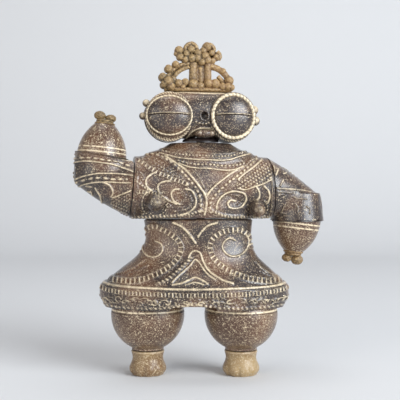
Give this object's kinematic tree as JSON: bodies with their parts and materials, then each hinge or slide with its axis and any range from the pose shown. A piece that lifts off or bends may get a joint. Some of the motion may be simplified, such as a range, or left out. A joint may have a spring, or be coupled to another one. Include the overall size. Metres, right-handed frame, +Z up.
{
  "type": "jointed figurine",
  "caption": "Small standing figurine with goggle eyes, openwork crown, flared skirt and egg-shaped limbs; it turns at the waist, neck, shoulders, elbows, hips and ankles.",
  "frame": {"origin": "on the floor under the waist's turning axis, which is also the middle of the figure's box", "axes": "+Z up, the figure faces -Y, +X is the figure's own left"},
  "size_m": [0.0986, 0.0394, 0.13],
  "materials": {
    "torso_plastic": "dark purplish brown, dry-brushed ochre on the relief, satin",
    "limb_plastic": "brown, densely speckled with ochre, satin",
    "foot_plastic": "tan over brown, stippled",
    "tan_plastic": "ochre tan with a dark wash in the hollows",
    "joint_plastic": "plain dark moulded plastic"
  },
  "bodies": {
    "hips": {"skirt_front": "torso_plastic", "skirt_back": "torso_plastic", "waist_bush": "joint_plastic", "hip_bush_right": "joint_plastic", "hip_bush_left": "joint_plastic"},
    "chest": {"chest_front": "torso_plastic", "chest_back": "torso_plastic", "waist_peg": "joint_plastic", "neck_bush": "joint_plastic", "shoulder_bush_right": "joint_plastic", "shoulder_bush_left": "joint_plastic"},
    "neck": {"neck_link": "joint_plastic"},
    "head": {"head_front": "torso_plastic", "head_back": "torso_plastic", "neck_pin": "joint_plastic", "crown": "tan_plastic"},
    "upper_arm_right": {"sleeve_front_right": "torso_plastic", "sleeve_back_right": "torso_plastic", "shoulder_peg_right": "joint_plastic", "elbow_bush_right": "joint_plastic"},
    "elbow_right": {"elbow_link_right": "joint_plastic"},
    "forearm_right": {"forearm_right": "limb_plastic", "elbow_pin_right": "joint_plastic", "hand_right": "tan_plastic"},
    "hip_right": {"hip_link_right": "joint_plastic"},
    "leg_right": {"leg_right": "limb_plastic", "hip_pin_right": "joint_plastic"},
    "foot_right": {"foot_right": "foot_plastic", "ankle_peg_right": "joint_plastic"},
    "upper_arm_left": {"sleeve_front_left": "torso_plastic", "sleeve_back_left": "torso_plastic", "shoulder_peg_left": "joint_plastic", "elbow_bush_left": "joint_plastic"},
    "elbow_left": {"elbow_link_left": "joint_plastic"},
    "forearm_left": {"forearm_left": "limb_plastic", "elbow_pin_left": "joint_plastic", "hand_left": "tan_plastic"},
    "hip_left": {"hip_link_left": "joint_plastic"},
    "leg_left": {"leg_left": "limb_plastic", "hip_pin_left": "joint_plastic"},
    "foot_left": {"foot_left": "foot_plastic", "ankle_peg_left": "joint_plastic"}
  },
  "joints": [
    {"name": "waist_turn", "type": "hinge", "parent": "hips", "child": "chest", "pos_m": [0, 0, 0.0603], "axis": [0, 0, 1], "range_deg": [-49, 31]},
    {"name": "neck_turn", "type": "hinge", "parent": "chest", "child": "neck", "pos_m": [0, 0, 0.09], "axis": [0, 0, 1], "range_deg": [-45, 45]},
    {"name": "head_nod", "type": "hinge", "parent": "neck", "child": "head", "pos_m": [0, 0, 0.0952], "axis": [0.9877, 0.1564, 0], "range_deg": [-6, 6]},
    {"name": "shoulder_swing_right", "type": "hinge", "parent": "chest", "child": "upper_arm_right", "pos_m": [-0.02657, -0.00421, 0.0729], "axis": [-0.9846, -0.156, 0.0785], "continuous": true},
    {"name": "elbow_twist_right", "type": "hinge", "parent": "upper_arm_right", "child": "elbow_right", "pos_m": [-0.03798, -0.00602, 0.08414], "axis": [-0.1545, -0.0245, -0.9877], "range_deg": [-90, 90]},
    {"name": "elbow_bend_right", "type": "hinge", "parent": "elbow_right", "child": "forearm_right", "pos_m": [-0.03798, -0.00602, 0.08414], "axis": [-0.1564, 0.9877, 0], "range_deg": [-4, 12]},
    {"name": "hip_turn_right", "type": "hinge", "parent": "hips", "child": "hip_right", "pos_m": [-0.0206, 0, 0.0236], "axis": [0, 0, 1], "range_deg": [-35, 35]},
    {"name": "hip_swing_right", "type": "hinge", "parent": "hip_right", "child": "leg_right", "pos_m": [-0.0206, 0, 0.0236], "axis": [1, 0, 0], "range_deg": [-30, 30]},
    {"name": "ankle_turn_right", "type": "hinge", "parent": "leg_right", "child": "foot_right", "pos_m": [-0.0206, 0, 0.01], "axis": [0, 0, 1], "range_deg": [-45, 45]},
    {"name": "shoulder_swing_left", "type": "hinge", "parent": "chest", "child": "upper_arm_left", "pos_m": [0.02657, 0.00421, 0.0729], "axis": [0.9846, 0.156, 0.0785], "continuous": true},
    {"name": "elbow_twist_left", "type": "hinge", "parent": "upper_arm_left", "child": "elbow_left", "pos_m": [0.03843, 0.00609, 0.0605], "axis": [0, 0, 1], "range_deg": [-90, 90]},
    {"name": "elbow_bend_left", "type": "hinge", "parent": "elbow_left", "child": "forearm_left", "pos_m": [0.03843, 0.00609, 0.0605], "axis": [-0.1564, 0.9877, 0], "range_deg": [-14, 2]},
    {"name": "hip_turn_left", "type": "hinge", "parent": "hips", "child": "hip_left", "pos_m": [0.0158, 0, 0.0236], "axis": [0, 0, 1], "range_deg": [-35, 35]},
    {"name": "hip_swing_left", "type": "hinge", "parent": "hip_left", "child": "leg_left", "pos_m": [0.0158, 0, 0.0236], "axis": [1, 0, 0], "range_deg": [-30, 30]},
    {"name": "ankle_turn_left", "type": "hinge", "parent": "leg_left", "child": "foot_left", "pos_m": [0.0158, 0, 0.01], "axis": [0, 0, 1], "range_deg": [-45, 45]}
  ]
}
